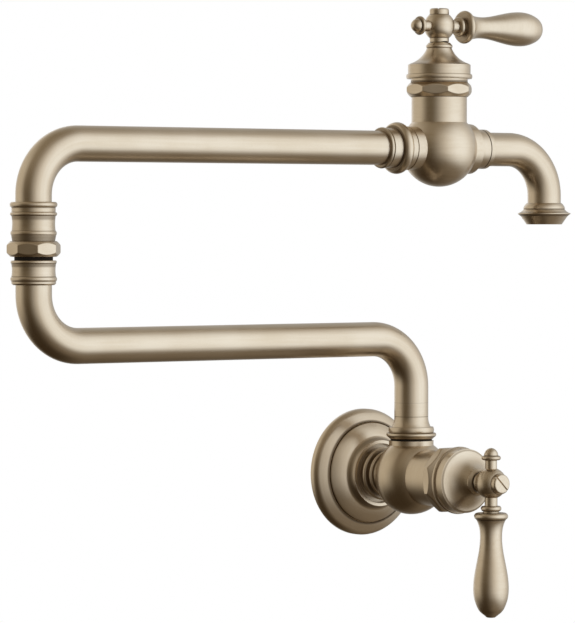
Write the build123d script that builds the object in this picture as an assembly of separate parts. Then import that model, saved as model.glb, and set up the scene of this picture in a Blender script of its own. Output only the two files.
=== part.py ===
from build123d import *
import math
import os

# Wall mounted pot filler with two swivelling arms, folded along its wall.
# Millimetres. The origin is the centre of the wall flange's back face, on the wall plane.
# +X runs along the wall, +Y goes into the wall and +Z is up.

# ---- Clearances
seat_gap = 0.05  # radial, round fits that stay still
swivel_gap = 0.05  # radial, round fits that turn
turn_gap = 0.3  # between parts that turn past each other
over = 1.0  # how far a cut runs past the face that it opens
edge = 0.4  # small edge rounds and bevels

# ---- Bent tubes
tube_r = 9.525
tube_wall = 1.5
bend_r = 27.0
spout_bend_r = 26.3
lower_reach = 247.8  # riser axis to elbow joint axis
upper_reach = 267.4  # elbow joint axis to spout valve axis
spout_reach = 76.4  # spout valve axis to outlet axis
riser_straight = 8.9  # tube between ferrule and first bend
joint_straight_low = 5.3  # tube between bend and lower joint sleeve
joint_straight_high = 3.7  # tube between upper joint sleeve and bend
outlet_straight = 4.1  # tube between the spout's bend and its outlet
tube_seat = 5.0  # how deep the tubes stand in the valve body and the outlet
tube_socket = 3.5  # how deep they stand in the joint sleeves

# ---- Wall flange, heights measured out from the wall
flange_r = 35.9
flange_rim = 2.6
ovolo_r = 30.0
ovolo_top = 10.9
ovolo_swell = 1.65
quirk_r = 29.3  # groove between ovolo and cove
quirk_depth = 0.9
cove_r = 19.8
cove_top = 16.0
cove_hollow = 1.5
flange_lip_top = 18.7
flange_lip_bore_r = 16.8
flange_wall = 2.8
flange_hub_r = 14.4
gasket_width = 2.6
gasket_depth = 1.4
gasket_inset = 1.3

# ---- Inlet shank and retaining ring
shank_r = 11.5
shank_back = 2.0  # the shank's end stays this far off the wall
shank_spigot_r = 8.5
shank_spigot = 4.0
socket_r = 9.3  # female half inch pipe thread, minor radius
socket_depth = 15.0
inlet_bore_r = 6.0
ring_nut_r = 15.0
ring_nut_low_r = 14.2
ring_nut_band = 2.8
ring_nut_top = 22.9

# ---- Valve bodies, heights from the ball's centre
riser_out = 46.7  # wall to ball centre and riser axis
ball_r = 21.4
ball_back = 14.0  # the wall valve's ball is flatter towards the wall
inlet_neck_r = 11.8
inlet_bead_r = 13.3
inlet_bead = 2.2
inlet_bead_back = 1.6
neck_r = 15.55
wall_neck = 31.7  # ball centre to the nut's seat
spout_neck = 28.9
spigot_r = 13.4
spigot = 5.0
riser_port_r = 12.5
riser_port_low = 1.4  # how far the riser port ends below the ball's top
seat_z = 8.0
seat_hole_r = 4.6
seat_foot = 7.0  # depth where the wall valve's inlet narrows to the seat's hole
seat_land = 4.0  # between the seat's hole and the link hole
water_r = 6.0
chamber_r = 13.0
chamber = 8.0
link_r = 2.0
arm_boss_r = 12.2
arm_boss_out = 1.8  # how far the arm's boss stands out from the ball
spout_boss_r = 14.1
spout_boss_out = 0.2

# ---- Cartridge
cartridge_r = 10.95
cartridge_wall = 2.4
disc_r = 8.45
disc = 3.0
disc_port_r = 5.2
disc_rib = 1.2  # half the rib between a disc's two ports
seal = 1.5
foot = 2.4
window = 2.2
cartridge_flange_r = 13.0
cartridge_flange = 2.0
guide_r = 6.3
guide = 12.0
stem_r = 4.0
stem_top_r = 3.6
stem_over = 1.0  # how far the stem ends above the hub's centre
o_ring = 0.95  # section radius of the cartridge's o-ring
small_o_ring = 0.63  # section radius of the swivel posts' o-rings
o_ring_z = 23.0
groove_ease = 1.2  # width of an o-ring's groove over its section

# ---- Octagonal nuts
nut_flats = 35.1
nut = 8.4
nut_face_r = 16.0
nut_lip_bore_r = 8.0
joint_nut_flats = 26.4
joint_nut = 8.2
joint_nut_face_r = 12.1

# ---- Bonnet: trim ring, bell and top ring
trim_neck_r = 16.0
trim_neck = 1.9
trim_lip_r = 18.6
trim_lip = 2.5
bell_rim_r = 17.6
bell_rim = 5.3
bell_shoulder_r = 16.4
bell_shoulder = 0.7
bell_waist_r = 10.6
bell_waist = 3.4
bell_top_r = 6.95
bell = 8.8  # shoulder to the top of the bell
bell_wall = 1.8
bell_crown = 1.5  # how much thicker the bell is under its top
top_ring_r = 7.5
top_ring = 2.9
top_ring_band = 1.7
top_ring_top_r = 6.1

# ---- Lever, distances along the lever from the hub's centre
hub_r = 8.6
hub_lift = 9.0  # the hub's foot to its widest point
hub_neck_r = 5.4
hub_web = 0.8  # between the stem's bore and the tenons
hub_flat = 6.6  # height of the flat under the screw's head
screw_head_r = 5.45
screw_head = 3.4
screw_head_round = 1.2
screw_shank_r = 2.4
screw_depth = 5.0
screw_slot = 0.9
screw_slot_depth = 1.1
lever_neck_r = 3.5
lever_collar_r = 5.65
lever_collar_start = 12.4
lever_collar = 2.7
lever_collar_crown = 0.8
lever_throat_r = 4.4
lever_ring_r = 9.3
lever_ring_start = 16.1
lever_ring = 3.7
lever_ring_crown = 1.9
lever_tenon_r = 2.6
grip_tenon = 6.0
grip_root_r = 8.1
grip_waist_r = 6.0
grip_waist_at = 28.6
grip_swell_r = 7.85
grip_swell_at = 43.3
grip_belly_r = 9.7
grip_belly_at = 57.8
grip_cap_turn = 18  # degrees between the points of the grip's elliptical end
lever_end = 73.4
finial_neck_r = 3.2
finial_tenon_r = 2.0
finial_collar_r = 5.3
finial_collar_start = 12.7
finial_collar = 2.3
finial_collar_crown = 0.8
finial_dome_r = 3.9
finial_dome_swell = 0.75
finial_tip_r = 1.2
finial_tip = 0.25  # height of the shallow cone that closes the dome
finial_end = 19.3

# ---- Riser swivel
washer = 0.9
riser_washer_r = 11.6
collar_foot_r = 11.9
collar_lip_r = 14.0
collar_lip = 1.8
collar_undercut = 1.5
collar_band_r = 12.75
collar_band = 3.4
collar_throat_r = 11.0
collar_flare = 5.9
collar_flare_hollow = 0.45
ferrule = 7.8
post_wall = 2.3
post_seat = 6.0
post_reach = 2.0  # how far the riser post runs on into the arm's tube
post_groove_depth = 1.0
riser_ring_low = 5.5  # riser o-rings, below the ferrule's top
riser_ring_high = 1.6
set_screw_r = 1.25
set_screw_socket_r = 0.65
set_screw_socket = 1.2
set_screw_sink = 0.9
set_screw_turn = 167.0  # direction of the set screw about the riser, from +X

# ---- Elbow joint
low_sleeve_tail = 1.9
low_sleeve_tail_r = 11.65
low_sleeve_bevel = 0.8
low_sleeve_bead_r = 12.2
low_sleeve_bead = 2.4
low_sleeve_hollow = 0.3
low_sleeve_waist = 6.8
low_sleeve_lip_r = 12.05
low_sleeve_lip = 1.7
joint_washer_r = 10.1
joint_washer = 1.9
post_flange_r = 10.3
post_flange = 2.2
nut_lip = 1.8
joint_ring_low = 7.0  # joint o-rings, below the upper sleeve's top
joint_ring_high = 12.0
high_sleeve_foot_r = 11.2
high_sleeve_foot = 3.0
high_sleeve_flare_r = 12.1
high_sleeve_flare = 2.2
high_sleeve_hollow = 0.3
high_sleeve_waist = 7.9
high_sleeve_bead_r = 12.3
high_sleeve_bead = 2.0
high_sleeve_band_r = 11.5
high_sleeve_band = 2.4
high_sleeve_top_r = 12.45
high_sleeve_top = 2.9

# ---- Collars on the arm's end and on the spout
union_tail_r = 11.8
union_tail = 3.8
union_torus_r = 14.45
union_torus = 6.2
ferrule_band_r = 11.2
ferrule_band = 6.1
ferrule_bead_r = 11.5
ferrule_bead = 2.2
spout_collar_r = 11.15
spout_collar_band = 7.2
spout_collar_groove = 0.5
spout_collar_end = 3.0

# ---- Outlet, heights measured down from its upper end
outlet_root_r = 9.9
outlet_band_r = 12.0
outlet_band = 3.2
outlet_band_swell = 0.35
outlet_quirk = 0.4  # how deep the flare starts inside the band
outlet_flare = 2.6
outlet_flare_hollow = 0.45
outlet_lip_r = 15.1
outlet_lip = 0.4
outlet_under = 1.3  # height of the lip's underside
outlet_nose_root_r = 13.4
outlet_nose_r = 10.1
outlet_nose = 4.7
aerator_r = 9.1
aerator = 5.6
aerator_wall = 1.5
aerator_screen = 0.8
aerator_hole_r = 0.55
aerator_pitch = 1.9
aerator_rings = 3
outlet_gasket = 1.4
outlet_gasket_width = 2.1

# ---- Places worked out from the sizes above
tube_bore_r = tube_r - tube_wall
tube_fit_r = tube_r + seat_gap
post_r = tube_bore_r - swivel_gap
post_fit_r = post_r + seat_gap
post_turn_r = post_r + swivel_gap
post_bore_r = post_r - post_wall
pocket_r = post_flange_r + turn_gap
stem_turn_r = stem_r + swivel_gap

riser_port_top = ball_r - riser_port_low
collar_z = riser_port_top + washer
collar_lip_z = collar_z + collar_undercut
collar_band_z = collar_lip_z + collar_lip
collar_flare_z = collar_band_z + collar_band
ferrule_z = collar_flare_z + collar_flare
riser_tube_z = ferrule_z + ferrule
set_screw_z = collar_band_z + collar_band / 2
lower_z = riser_tube_z + riser_straight + bend_r

low_sleeve_z = lower_z + bend_r + joint_straight_low
low_bead_z = low_sleeve_z + low_sleeve_tail
low_waist_z = low_bead_z + low_sleeve_bead
low_lip_z = low_waist_z + low_sleeve_waist
low_sleeve_end = low_lip_z + low_sleeve_lip
joint_nut_z = low_sleeve_end + joint_washer
post_flange_z = joint_nut_z + nut_lip
thrust_z = post_flange_z + post_flange
high_sleeve_z = joint_nut_z + joint_nut
high_flare_z = high_sleeve_z + high_sleeve_foot
high_waist_z = high_flare_z + high_sleeve_flare
high_bead_z = high_waist_z + high_sleeve_waist
high_band_z = high_bead_z + high_sleeve_bead
high_top_z = high_band_z + high_sleeve_band
high_sleeve_end = high_top_z + high_sleeve_top
upper_z = high_sleeve_end + joint_straight_high + bend_r

spout_valve_x = upper_reach - lower_reach
outlet_x = spout_valve_x + spout_reach
outlet_z = upper_z - spout_bend_r - outlet_straight

neck_foot = math.sqrt(ball_r**2 - neck_r**2)
arm_boss = ball_r + arm_boss_out
spout_boss = ball_r + spout_boss_out
link_out = seat_hole_r + seat_land + link_r
shelf_z = seat_z + seal + 2 * disc + foot + turn_gap

# Above the nut's seat, along a valve's axis
cap_z = spigot + cartridge_flange
trim_lip_z = nut + trim_neck
bell_z = trim_lip_z + trim_lip
bell_shoulder_z = bell_z + bell_rim
bell_cone_z = bell_shoulder_z + bell_shoulder
top_ring_z = bell_cone_z + bell
stem_step_z = top_ring_z + top_ring
hub_z = stem_step_z + turn_gap + hub_lift

# Along the lever, from the hub's centre
tenon_start = stem_top_r + hub_web
neck_seat = math.sqrt(hub_r**2 - lever_neck_r**2)
finial_seat = math.sqrt(hub_r**2 - finial_neck_r**2)
lever_ring_end = lever_ring_start + lever_ring

# Along the arm and the spout, from the spout valve's axis
union_torus_at = arm_boss + union_tail
union_end = union_torus_at + union_torus
ferrule_bead_at = union_end + ferrule_band
ferrule_end = ferrule_bead_at + ferrule_bead
spout_groove_at = spout_boss + spout_collar_band
spout_rim_at = spout_groove_at + spout_collar_groove
spout_collar_out = spout_rim_at + spout_collar_end

# Outlet, below the lower end of the spout's straight
flare_z = -outlet_band
lip_z = flare_z - outlet_flare
under_z = lip_z - outlet_lip
nose_z = under_z - outlet_under
outlet_end = nose_z - outlet_nose
aerator_top = -tube_seat - outlet_gasket


def lathe(*steps):
    # Turns a closed outline about Z. A step is (radius, height), or a pair of such
    # points for an arc through the first to the second.
    here = steps[0]
    edges = []
    for step in steps[1:] + (steps[0],):
        if isinstance(step[0], tuple):
            middle, end = step
            edges.append(ThreePointArc(here, middle, end))
        else:
            end = step
            if math.dist(here, end) > 1e-6:
                edges.append(Line(here, end))
        here = end
    return revolve(Plane.XZ * make_face(edges), Axis.Z)


def bowed(start, end, bow):
    # An arc step that stands out from its chord by bow, or is hollow where bow is negative
    along = (end[0] - start[0], end[1] - start[1])
    out = math.copysign(1, along[1]) * bow / math.hypot(*along)
    middle = ((start[0] + end[0]) / 2 + along[1] * out, (start[1] + end[1]) / 2 - along[0] * out)
    return middle, end


def bead(r, z0, z1, crown):
    # An arc step from (r, z0) to (r, z1), with its crown at that radius
    return bowed((r, z0), (r, z1), crown - r)


def level_arc(start, end):
    # An arc step on the circle whose centre is level with the origin
    centre = (math.hypot(*start) ** 2 - math.hypot(*end) ** 2) / (2 * (start[0] - end[0]))
    along = (start[0] + end[0]) / 2 - centre
    up = (start[1] + end[1]) / 2
    reach = math.dist(start, (centre, 0)) / math.hypot(along, up)
    return (centre + along * reach, up * reach), end


def rod(r, z0, z1):
    return Pos(0, 0, z0) * Cylinder(r, z1 - z0, align=(Align.CENTER, Align.CENTER, Align.MIN))


def pipe(r, bore, z0, z1):
    return rod(r, z0, z1) - rod(bore, z0 - over, z1 + over)


def octagon_nut(flats, height, face_r):
    # An octagonal prism with its corners turned down at 45 degrees to face_r
    prism = extrude(RegularPolygon(flats / 2, 8, major_radius=False, rotation=22.5), height)
    outside = flats / 2 / math.cos(math.radians(22.5)) + over
    drop = outside - face_r
    blank = lathe(
        (0, 0),
        (face_r, 0),
        (outside, drop),
        (outside, height - drop),
        (face_r, height),
        (0, height),
    )
    return prism & blank


# ---- Wall side, turned about the wall's normal: local Z is the distance from the wall


def gasket_ring():
    outer = flange_r - gasket_inset
    return rod(outer, 0, gasket_depth) - rod(outer - gasket_width, 0, gasket_depth)


def wall_flange():
    # A moulded shell with a hub round the shank
    bore = shank_r + seat_gap
    skin = lathe(
        (bore, flange_wall),
        (flange_hub_r, flange_wall),
        (flange_hub_r, cove_top - flange_wall),
        (cove_r, cove_top - flange_wall),
        (ovolo_r - flange_wall, ovolo_top - flange_wall),
        (ovolo_r, 0),
        (flange_r, 0),
        (flange_r, flange_rim),
        bowed((flange_r, flange_rim), (ovolo_r, ovolo_top), ovolo_swell),
        (quirk_r, ovolo_top - quirk_depth),
        (quirk_r, ovolo_top),
        bowed((quirk_r, ovolo_top), (cove_r, cove_top), -cove_hollow),
        (cove_r, flange_lip_top - edge),
        (cove_r - edge, flange_lip_top),
        (flange_lip_bore_r, flange_lip_top),
        (flange_lip_bore_r, cove_top),
        (bore, cove_top),
    )
    return skin - gasket_ring()


def inlet_shank():
    # The pipe thread's socket faces the wall, and a spigot enters the valve body
    body = rod(shank_r, shank_back, ring_nut_top)
    body += rod(shank_spigot_r, ring_nut_top, ring_nut_top + shank_spigot)
    body -= rod(socket_r, shank_back, shank_back + socket_depth)
    return body - rod(inlet_bore_r, shank_back, ring_nut_top + shank_spigot)


def flange_ring_nut():
    band = ring_nut_top - ring_nut_band
    bore = shank_r + seat_gap
    return lathe(
        (bore, cove_top),
        (ring_nut_low_r, cove_top),
        (ring_nut_low_r, band),
        bead(ring_nut_low_r, band, ring_nut_top, ring_nut_r),
        (bore, ring_nut_top),
    )


# ---- Valve bodies: the ball's centre is the origin, local Z the valve's axis


def neck_steps(neck_end):
    # Outline from the ball's widest point up its front and the neck to the spigot
    widest = (ball_r, 0)
    return (
        level_arc(widest, (neck_r, neck_foot)),
        (neck_r, neck_end),
        (spigot_r, neck_end),
        (spigot_r, neck_end + spigot),
        (0, neck_end + spigot),
    )


def cartridge_bores(neck_end, seat_start):
    bores = rod(seat_hole_r, seat_start, seat_z)
    bores += rod(chamber_r, seat_z, seat_z + chamber)
    return bores + rod(cartridge_r + seat_gap, seat_z, neck_end + spigot + over)


def wall_valve_body():
    # Local +Y is up, towards the riser
    back = ring_nut_top - riser_out
    bead_z = back + inlet_bead_back
    bead_end = bead_z + inlet_bead
    body = lathe(
        (0, back),
        (inlet_neck_r, back),
        (inlet_neck_r, bead_z),
        bead(inlet_neck_r, bead_z, bead_end, inlet_bead_r),
        (inlet_neck_r, -ball_back),
        level_arc((inlet_neck_r, -ball_back), (ball_r, 0)),
        *neck_steps(wall_neck),
    )
    upward = Rot(-90, 0, 0)
    body += upward * rod(riser_port_r, 0, riser_port_top)
    body -= upward * rod(ball_r, riser_port_top, ball_r + over)
    body -= cartridge_bores(wall_neck, -seat_foot)
    body -= rod(inlet_bore_r, back, -seat_foot)
    body -= rod(shank_spigot_r + seat_gap, back - over, back + shank_spigot)
    body -= upward * rod(water_r, link_out, riser_port_top)
    body -= upward * rod(post_fit_r, riser_port_top - post_seat, riser_port_top + over)
    return body - Pos(0, link_out, 0) * rod(link_r, 0, seat_z + over)


def spout_valve_body():
    # Local -X is the arm, local +X the spout
    to_arm = Rot(0, -90, 0)
    to_spout = Rot(0, 90, 0)
    body = lathe((0, -ball_r), level_arc((0, -ball_r), (ball_r, 0)), *neck_steps(spout_neck))
    body += to_arm * rod(arm_boss_r, 0, arm_boss)
    body += to_spout * lathe(
        (0, 0),
        (spout_boss_r, 0),
        (spout_boss_r, spout_boss - edge),
        (spout_boss_r - edge, spout_boss),
        (0, spout_boss),
    )
    body -= cartridge_bores(spout_neck, 0)
    body -= to_arm * rod(water_r, -seat_hole_r, arm_boss)
    body -= to_arm * rod(tube_fit_r, arm_boss - tube_seat, arm_boss + over)
    body -= to_spout * rod(water_r, link_out, spout_boss)
    body -= to_spout * rod(tube_fit_r, spout_boss - tube_seat, spout_boss + over)
    return body - Pos(link_out, 0, 0) * rod(link_r, 0, seat_z + over)


# ---- Cartridge, in the same frame


def cartridge_body(neck_end):
    top = neck_end + spigot
    cap = top + cartridge_flange
    body = rod(cartridge_r, seat_z, top)
    body += rod(cartridge_flange_r, top, cap)
    body += rod(guide_r, cap, cap + guide)
    body -= rod(cartridge_r - cartridge_wall, seat_z - over, shelf_z)
    body -= rod(stem_turn_r, shelf_z, cap + guide + over)
    groove = o_ring * groove_ease
    body -= pipe(cartridge_r + over, cartridge_r - 2 * o_ring, o_ring_z - groove, o_ring_z + groove)
    window_z = seat_z + seal + disc + disc / 2
    return body - Pos(0, 0, window_z) * Box(2 * cartridge_r + over, 2 * seat_hole_r, window)


def cartridge_o_ring():
    return Pos(0, 0, o_ring_z) * Torus(cartridge_r - o_ring, o_ring)


def cartridge_seal():
    return pipe(disc_r, disc_port_r, seat_z, seat_z + seal)


def disc_ports(z):
    # Two quarter ports on opposite sides of a ceramic disc
    corner = (Align.MIN, Align.MIN, Align.MIN)
    quarter = Pos(disc_rib, disc_rib, z) * Box(disc_r, disc_r, disc, align=corner)
    port = quarter & rod(disc_port_r, z, z + disc)
    return port + Rot(0, 0, 180) * port


def fixed_disc():
    z = seat_z + seal
    return rod(disc_r, z, z + disc) - disc_ports(z)


def turning_disc():
    # Closed: its ports stand over the ribs of the fixed disc
    z = seat_z + seal + disc
    return rod(disc_r - turn_gap, z, z + disc) - Rot(0, 0, 90) * disc_ports(z)


def valve_stem(neck_end):
    z = seat_z + seal + 2 * disc
    step = neck_end + stem_step_z
    hub = neck_end + hub_z
    body = rod(disc_r - turn_gap, z, z + foot)
    body += rod(stem_r, z, step)
    body += rod(stem_top_r, step, hub + stem_over)
    return body - rod(screw_shank_r + seat_gap, hub - screw_depth - over, hub + stem_over + over)


# ---- Valve top works: the nut's seat is the origin, local Z the valve's axis


def bonnet_nut():
    body = octagon_nut(nut_flats, nut, nut_face_r)
    body -= rod(spigot_r + seat_gap, 0, cap_z)
    return body - rod(nut_lip_bore_r, cap_z, nut + over)


def bonnet_trim_ring():
    side = trim_lip_r - edge
    return lathe(
        (nut_lip_bore_r, nut),
        (trim_neck_r, nut),
        (trim_neck_r, trim_lip_z),
        (side, trim_lip_z),
        bead(side, trim_lip_z, bell_z, trim_lip_r),
        (nut_lip_bore_r, bell_z),
    )


def bell_bonnet():
    # A thin walled bell with a concave cone, bored for the stem
    hollow_r = bell_rim_r - bell_wall
    hollow_top = bell_cone_z + bell_waist
    crown_r = bell_waist_r - bell_wall - bell_crown
    return lathe(
        (stem_turn_r, hollow_top),
        (crown_r, hollow_top),
        (hollow_r, bell_shoulder_z - bell_wall),
        (hollow_r, bell_z),
        (bell_rim_r, bell_z),
        (bell_rim_r, bell_shoulder_z),
        (bell_shoulder_r, bell_cone_z),
        ((bell_waist_r, hollow_top), (bell_top_r, top_ring_z)),
        (stem_turn_r, top_ring_z),
    )


def bell_top_ring():
    side = top_ring_r - edge
    band_z = top_ring_z + top_ring_band
    return lathe(
        (stem_turn_r, top_ring_z),
        (side, top_ring_z),
        bead(side, top_ring_z, band_z, top_ring_r),
        (top_ring_top_r, stem_step_z),
        (stem_turn_r, stem_step_z),
    )


# ---- Lever: the hub's centre is the origin, local Z the valve's axis, local +X the grip


def lever_hub():
    # A ball on a neck, flat on top and where the lever's neck and the finial's seat
    body = Sphere(hub_r) + rod(hub_neck_r, -hub_lift, 0)
    body &= rod(hub_r, -hub_lift, hub_flat)
    body &= Rot(0, 90, 0) * rod(hub_lift + over, -finial_seat, neck_seat)
    body -= rod(stem_top_r + seat_gap, -hub_lift - over, stem_over)
    body -= rod(screw_shank_r + seat_gap, 0, hub_flat + over)
    body -= Rot(0, 90, 0) * rod(lever_tenon_r + seat_gap, tenon_start, hub_r)
    return body - Rot(0, -90, 0) * rod(finial_tenon_r + seat_gap, tenon_start, hub_r)


def lever_screw():
    # A slotted cheese head with a rounded edge
    face = hub_flat + screw_head
    rim = (screw_head_r, face - screw_head_round)
    round_end = (screw_head_r - screw_head_round, face)
    body = lathe(
        (0, -screw_depth),
        (screw_shank_r, -screw_depth),
        (screw_shank_r, hub_flat),
        (screw_head_r, hub_flat),
        rim,
        bowed(rim, round_end, screw_head_round * (1 - math.sqrt(0.5))),
        (0, face),
    )
    slot = Pos(0, 0, face) * Box(2 * screw_head_r, screw_slot, 2 * screw_slot_depth)
    return body - Rot(0, 0, 45) * slot


def lever_ring_piece():
    # Neck, small collar and flared ring, with a tenon at each end
    collar_end = lever_collar_start + lever_collar
    collar_side = lever_collar_r - lever_collar_crown
    ring_side = lever_ring_r - lever_ring_crown
    body = lathe(
        (0, tenon_start),
        (lever_tenon_r, tenon_start),
        (lever_tenon_r, neck_seat),
        (lever_neck_r, neck_seat),
        (lever_neck_r, lever_collar_start),
        (collar_side, lever_collar_start),
        bead(collar_side, lever_collar_start, collar_end, lever_collar_r),
        (lever_throat_r, collar_end),
        (lever_throat_r, lever_ring_start),
        (ring_side, lever_ring_start),
        bead(ring_side, lever_ring_start, lever_ring_end, lever_ring_r),
        (lever_tenon_r, lever_ring_end),
        (lever_tenon_r, lever_ring_end + grip_tenon),
        (0, lever_ring_end + grip_tenon),
    )
    return Rot(0, 90, 0) * body


def lever_grip():
    # A pear shaped grip, bored for the tenon. Past its belly it ends as an ellipse does.
    bore = lever_tenon_r + seat_gap
    bore_end = lever_ring_end + grip_tenon
    cap = lever_end - grip_belly_at
    turns = [math.radians(turn) for turn in range(grip_cap_turn, 90, grip_cap_turn)]
    outside = Spline(
        (grip_root_r, lever_ring_end),
        (grip_waist_r, grip_waist_at),
        (grip_swell_r, grip_swell_at),
        (grip_belly_r, grip_belly_at),
        *[(grip_belly_r * math.cos(turn), grip_belly_at + cap * math.sin(turn)) for turn in turns],
        (0, lever_end),
        tangents=((-0.6, 1), (-1, 0)),
    )
    inside = Polyline(
        (0, lever_end),
        (0, bore_end),
        (bore, bore_end),
        (bore, lever_ring_end),
        (grip_root_r, lever_ring_end),
    )
    return Rot(0, 90, 0) * revolve(Plane.XZ * make_face([outside, inside]), Axis.Z)


def lever_finial():
    # A neck, a collar with a rounded rim and a small dome
    collar_end = finial_collar_start + finial_collar
    side = finial_collar_r - finial_collar_crown
    dome_root = (finial_dome_r, collar_end)
    body = lathe(
        (0, tenon_start),
        (finial_tenon_r, tenon_start),
        (finial_tenon_r, finial_seat),
        (finial_neck_r, finial_seat),
        (finial_neck_r, finial_collar_start),
        (side, finial_collar_start),
        bead(side, finial_collar_start, collar_end, finial_collar_r),
        dome_root,
        bowed(dome_root, (finial_tip_r, finial_end - finial_tip), finial_dome_swell),
        (0, finial_end),
    )
    return Rot(0, -90, 0) * body


# ---- Riser swivel: the ball's centre is the origin, local Z the riser's axis


def swivel_post(z0, z1, rings):
    body = pipe(post_r, post_bore_r, z0, z1)
    groove = small_o_ring * groove_ease
    for z in rings:
        body -= pipe(post_r + over, post_r - 2 * small_o_ring, z - groove, z + groove)
    return body


def post_o_rings(rings):
    return Compound(children=[Pos(0, 0, z) * Torus(post_r - small_o_ring, small_o_ring) for z in rings])


def riser_post(rings):
    body = swivel_post(riser_port_top - post_seat, riser_tube_z + post_reach, rings)
    half = set_screw_r + turn_gap
    floor = post_r - post_groove_depth
    return body - pipe(post_r + over, floor, set_screw_z - half, set_screw_z + half)


def riser_washer():
    return pipe(riser_washer_r, post_turn_r + seat_gap, riser_port_top, collar_z)


def set_screw_place():
    return Pos(0, 0, set_screw_z) * Rot(0, 90, set_screw_turn)


def riser_collar():
    lip_side = collar_lip_r - edge
    band_side = collar_band_r - edge
    body = lathe(
        (post_turn_r, collar_z),
        (collar_foot_r, collar_z),
        (lip_side, collar_lip_z),
        bead(lip_side, collar_lip_z, collar_band_z, collar_lip_r),
        (band_side, collar_band_z),
        bead(band_side, collar_band_z, collar_flare_z, collar_band_r),
        (collar_throat_r, collar_flare_z),
        bowed((collar_throat_r, collar_flare_z), (tube_r, ferrule_z), -collar_flare_hollow),
        (post_turn_r, ferrule_z),
    )
    return body - set_screw_place() * rod(set_screw_r + seat_gap, 0, collar_lip_r)


def riser_set_screw():
    # Its tip runs in the riser post's groove
    tip = post_r - post_groove_depth + turn_gap
    outer = collar_band_r - set_screw_sink
    body = rod(set_screw_r - seat_gap, tip, outer)
    socket = Pos(0, 0, outer - set_screw_socket) * RegularPolygon(set_screw_socket_r, 6)
    return set_screw_place() * (body - extrude(socket, set_screw_socket + over))


def riser_ferrule():
    return pipe(tube_r, post_turn_r, ferrule_z, riser_tube_z)


# ---- Bent tubes, in the world frame


def bent_tube(points, radius):
    path = FilletPolyline(*points, radius=radius)
    plane = Plane(origin=path.position_at(0), z_dir=path.tangent_at(0))
    ring = Circle(tube_r) - Circle(tube_bore_r)
    return sweep(plane * ring, path=path)


def lower_arm_tube():
    points = [
        (0, -riser_out, riser_tube_z),
        (0, -riser_out, lower_z),
        (-lower_reach, -riser_out, lower_z),
        (-lower_reach, -riser_out, low_sleeve_z + tube_socket),
    ]
    return bent_tube(points, bend_r)


def upper_arm_tube():
    points = [
        (-lower_reach, -riser_out, high_sleeve_end - tube_socket),
        (-lower_reach, -riser_out, upper_z),
        (spout_valve_x - arm_boss + tube_seat, -riser_out, upper_z),
    ]
    return bent_tube(points, bend_r)


def spout_tube():
    points = [
        (spout_valve_x + spout_boss - tube_seat, -riser_out, upper_z),
        (outlet_x, -riser_out, upper_z),
        (outlet_x, -riser_out, outlet_z - tube_seat),
    ]
    return bent_tube(points, spout_bend_r)


# ---- Elbow joint: local Z is the joint's axis, at world heights


def lower_joint_sleeve():
    waist = (low_sleeve_tail_r, low_waist_z)
    lip = (low_sleeve_tail_r, low_lip_z)
    return lathe(
        (tube_fit_r, low_sleeve_z),
        (low_sleeve_tail_r - low_sleeve_bevel, low_sleeve_z),
        (low_sleeve_tail_r, low_sleeve_z + low_sleeve_bevel),
        (low_sleeve_tail_r, low_bead_z),
        bead(low_sleeve_tail_r, low_bead_z, low_waist_z, low_sleeve_bead_r),
        bowed(waist, lip, -low_sleeve_hollow),
        bead(low_sleeve_tail_r, low_lip_z, low_sleeve_end, low_sleeve_lip_r),
        (post_fit_r, low_sleeve_end),
        (post_fit_r, low_sleeve_z + tube_socket),
        (tube_fit_r, low_sleeve_z + tube_socket),
    )


def joint_post(rings):
    # Its flange is held between the nut's lip and the thrust washer
    body = swivel_post(low_sleeve_z + tube_socket, high_sleeve_end - tube_socket, rings)
    return body + pipe(post_flange_r, post_bore_r, post_flange_z, thrust_z)


def joint_bearing_washer():
    return pipe(joint_washer_r, post_fit_r, low_sleeve_end, joint_nut_z)


def joint_thrust_washer():
    return pipe(post_flange_r, post_turn_r + seat_gap, thrust_z, thrust_z + washer)


def joint_nut_ring():
    body = Pos(0, 0, joint_nut_z) * octagon_nut(joint_nut_flats, joint_nut, joint_nut_face_r)
    body -= rod(post_turn_r, joint_nut_z - over, post_flange_z)
    return body - rod(pocket_r, post_flange_z, high_sleeve_z + over)


def upper_joint_sleeve():
    spigot_z = thrust_z + washer
    spigot_side = pocket_r - seat_gap
    flare_side = high_sleeve_flare_r - edge
    socket_z = high_sleeve_end - tube_socket
    return lathe(
        (post_turn_r, spigot_z),
        (spigot_side, spigot_z),
        (spigot_side, high_sleeve_z),
        (high_sleeve_foot_r, high_sleeve_z),
        (flare_side, high_flare_z),
        bead(flare_side, high_flare_z, high_waist_z, high_sleeve_flare_r),
        (high_sleeve_band_r, high_waist_z),
        bowed((high_sleeve_band_r, high_waist_z), (high_sleeve_band_r, high_bead_z), -high_sleeve_hollow),
        bead(high_sleeve_band_r, high_bead_z, high_band_z, high_sleeve_bead_r),
        (high_sleeve_band_r, high_top_z),
        bead(high_sleeve_band_r, high_top_z, high_sleeve_end, high_sleeve_top_r),
        (tube_fit_r, high_sleeve_end),
        (tube_fit_r, socket_z),
        (post_turn_r, socket_z),
    )


# ---- Collars: local Z runs along the arm or the spout, away from the valve


def arm_union_ring():
    return lathe(
        (tube_fit_r, arm_boss),
        (union_tail_r, arm_boss),
        (union_tail_r, union_torus_at),
        bead(union_tail_r, union_torus_at, union_end, union_torus_r),
        (tube_fit_r, union_end),
    )


def arm_ferrule():
    side = ferrule_band_r - edge
    return lathe(
        (tube_fit_r, union_end),
        (ferrule_band_r, union_end),
        (ferrule_band_r, ferrule_bead_at - edge),
        (side, ferrule_bead_at),
        bead(side, ferrule_bead_at, ferrule_end, ferrule_bead_r),
        (tube_fit_r, ferrule_end),
    )


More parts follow.
